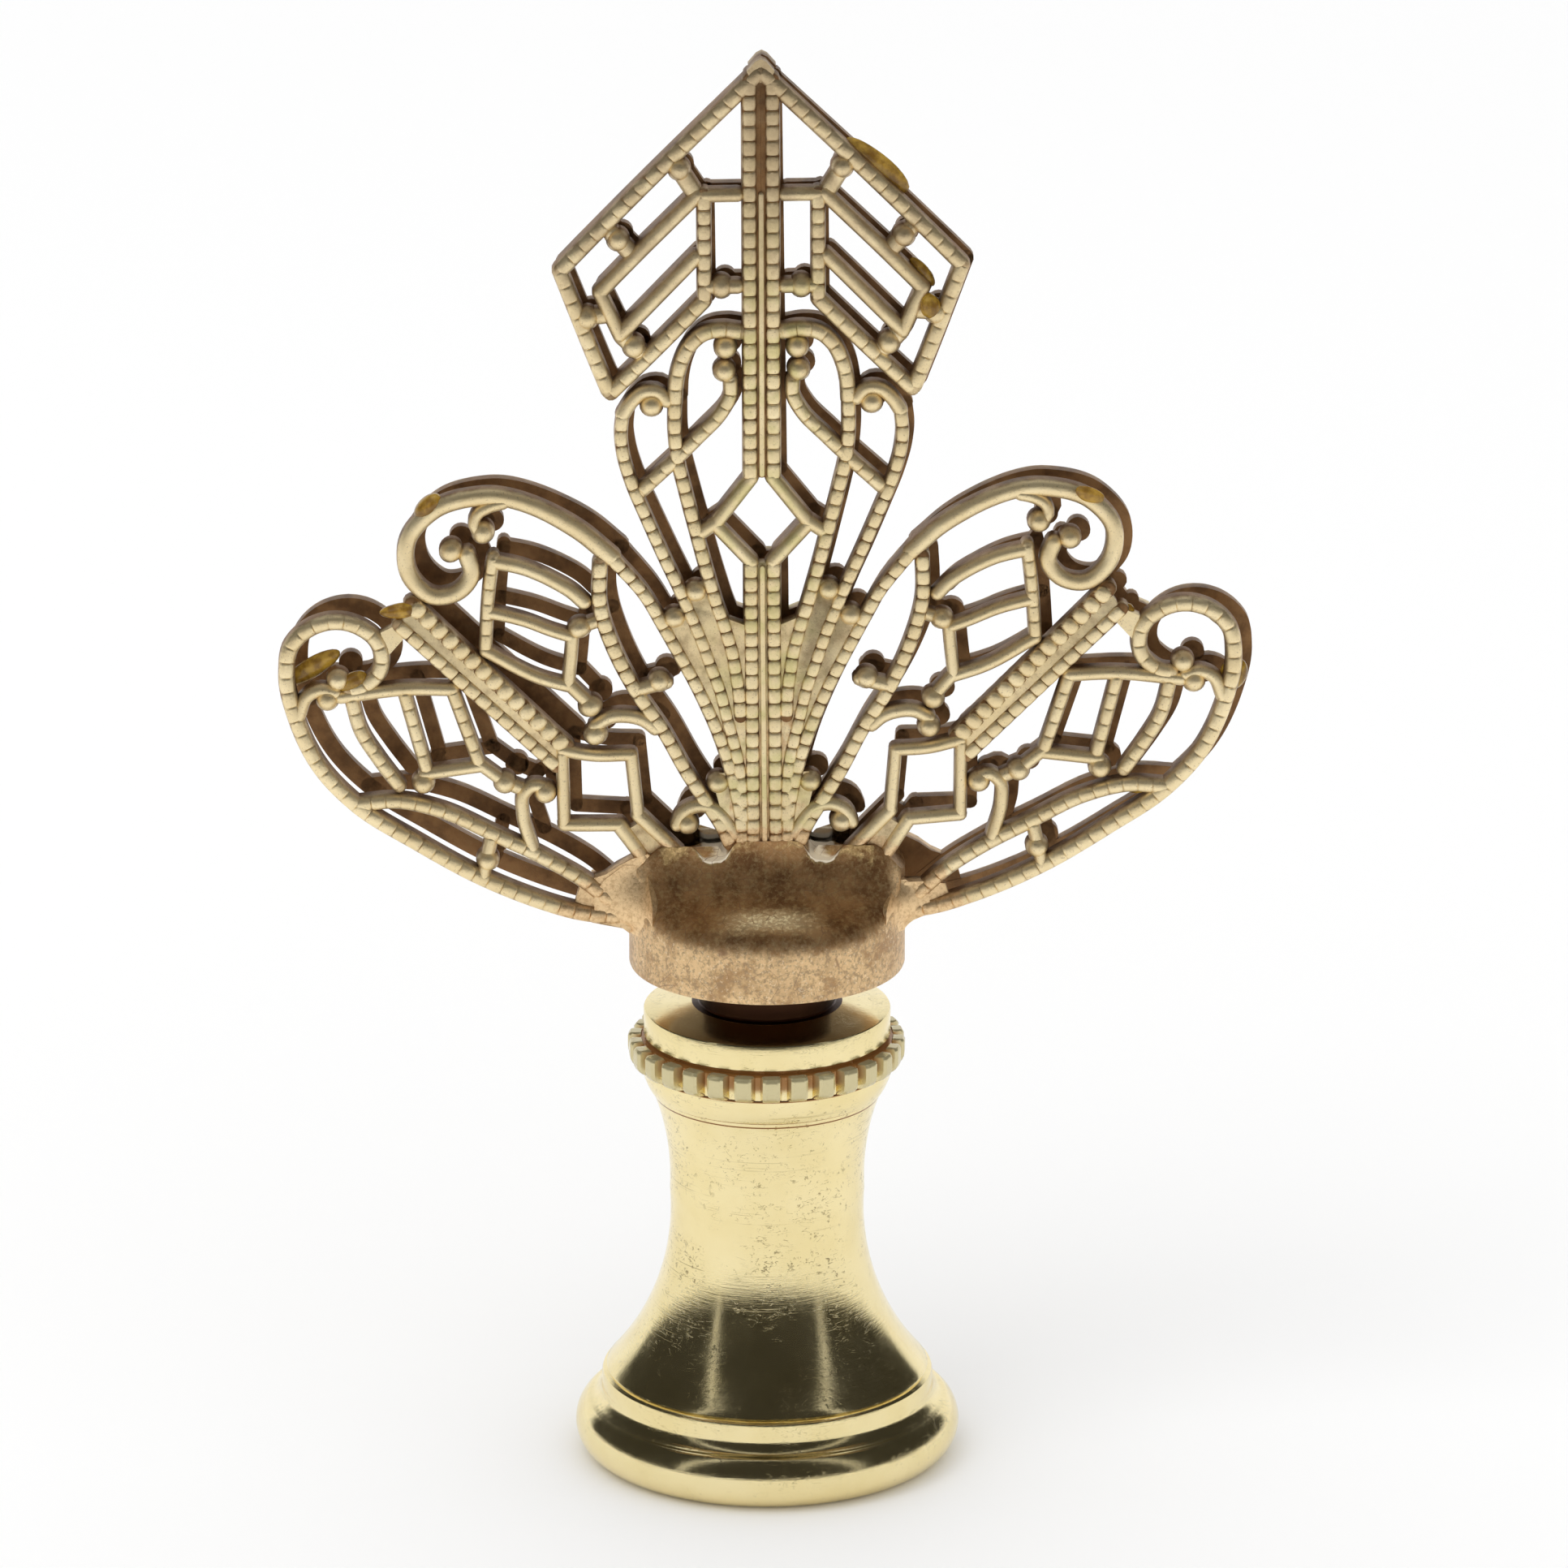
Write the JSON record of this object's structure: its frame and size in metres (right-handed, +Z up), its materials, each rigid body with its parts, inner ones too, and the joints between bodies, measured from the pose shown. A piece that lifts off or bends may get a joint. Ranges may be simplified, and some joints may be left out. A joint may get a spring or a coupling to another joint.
{
  "type": "lamp finial",
  "caption": "Lamp finial: turned brass spool with a knurled collar and tapped foot, carrying two back-to-back openwork filigree stampings that close in a half cup round its neck.",
  "frame": {"origin": "centre of the foot's seat, on the axis of the tapped hole", "axes": "+Z up along the turned base to the tip of the leaves, +X along the width of the leaves, +Y from the front leaf to the back leaf"},
  "size_m": [0.0419, 0.017, 0.064],
  "materials": {
    "base_brass": "polished, with fine scratches and small specks",
    "filigree_brass": "satin, pale where rubbed, brown in the recesses"
  },
  "bodies": {
    "root": {"turned_base": "base_brass", "front_leaf": "filigree_brass", "back_leaf": "filigree_brass"}
  },
  "joints": []
}
